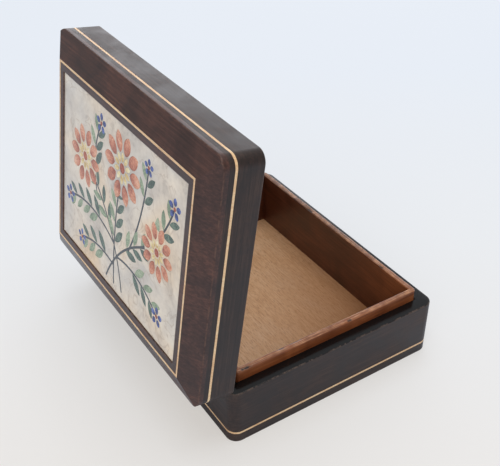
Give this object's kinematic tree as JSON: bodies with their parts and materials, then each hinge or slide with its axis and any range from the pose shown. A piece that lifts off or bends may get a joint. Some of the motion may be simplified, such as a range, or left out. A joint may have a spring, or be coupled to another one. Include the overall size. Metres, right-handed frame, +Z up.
{
  "type": "ditty box",
  "caption": "Rectangular ebonised wooden box with a hinged bevelled lid, light stringing, a raised wooden liner and a stone picture let into the lid.",
  "frame": {"origin": "centre of the underside of the base, where the box stands on the table", "axes": "+Z up, +X along the hinge line to the right as seen from the front, front at -Y, hinges at +Y; the lid is drawn open, resting on its stop"},
  "size_m": [0.165, 0.1551, 0.167],
  "materials": {
    "case": "ebonised and polished, semi-gloss",
    "stringing": "pale boxwood, polished flush",
    "liner": "stained reddish brown, worn paler on the edges",
    "floor_board": "bare fine-grained wood, matt",
    "bottom_board": "stained dark, matt",
    "hinges": "dull brass",
    "screws": "dull brass",
    "ground_stone": "pale mottled marble, polished",
    "petal_stone": "salmon jasper, polished",
    "inner_petal_stone": "pale yellow marble, polished",
    "heart_stone": "terracotta jasper, polished",
    "small_flower_stone": "blue lapis, polished",
    "light_leaf_stone": "grey-green serpentine, polished",
    "dark_leaf_stone": "dark green serpentine, polished",
    "stem_stone": "dark slate, polished"
  },
  "bodies": {
    "base": {"base_front_wall": "case", "base_back_wall": "case", "base_left_wall": "case", "base_right_wall": "case", "base_bottom_board": "bottom_board", "base_stringing": "stringing", "liner_front_wall": "liner", "liner_back_wall": "liner", "liner_left_wall": "liner", "liner_right_wall": "liner", "liner_floor": "floor_board", "left_hinge_base_leaf": "hinges", "right_hinge_base_leaf": "hinges", "left_hinge_pin": "hinges", "right_hinge_pin": "hinges", "base_hinge_screws": "screws"},
    "lid": {"lid_front_wall": "case", "lid_back_wall": "case", "lid_left_wall": "case", "lid_right_wall": "case", "lid_top_board": "case", "lid_lining": "liner", "lid_side_stringing": "stringing", "lid_front_strip": "stringing", "lid_back_strip": "stringing", "lid_left_strip": "stringing", "lid_right_strip": "stringing", "picture_tablet": "ground_stone", "picture_petals": "petal_stone", "picture_inner_petals": "inner_petal_stone", "picture_hearts": "heart_stone", "picture_small_flowers": "small_flower_stone", "picture_light_leaves": "light_leaf_stone", "picture_dark_leaves": "dark_leaf_stone", "picture_stems": "stem_stone", "left_hinge_lid_leaf": "hinges", "right_hinge_lid_leaf": "hinges", "lid_hinge_screws": "screws"}
  },
  "joints": [
    {"name": "lid_hinge", "type": "hinge", "parent": "base", "child": "lid", "pos_m": [0, 0.06525, 0.0341], "axis": [1, 0, 0], "range_deg": [0, 82]}
  ]
}
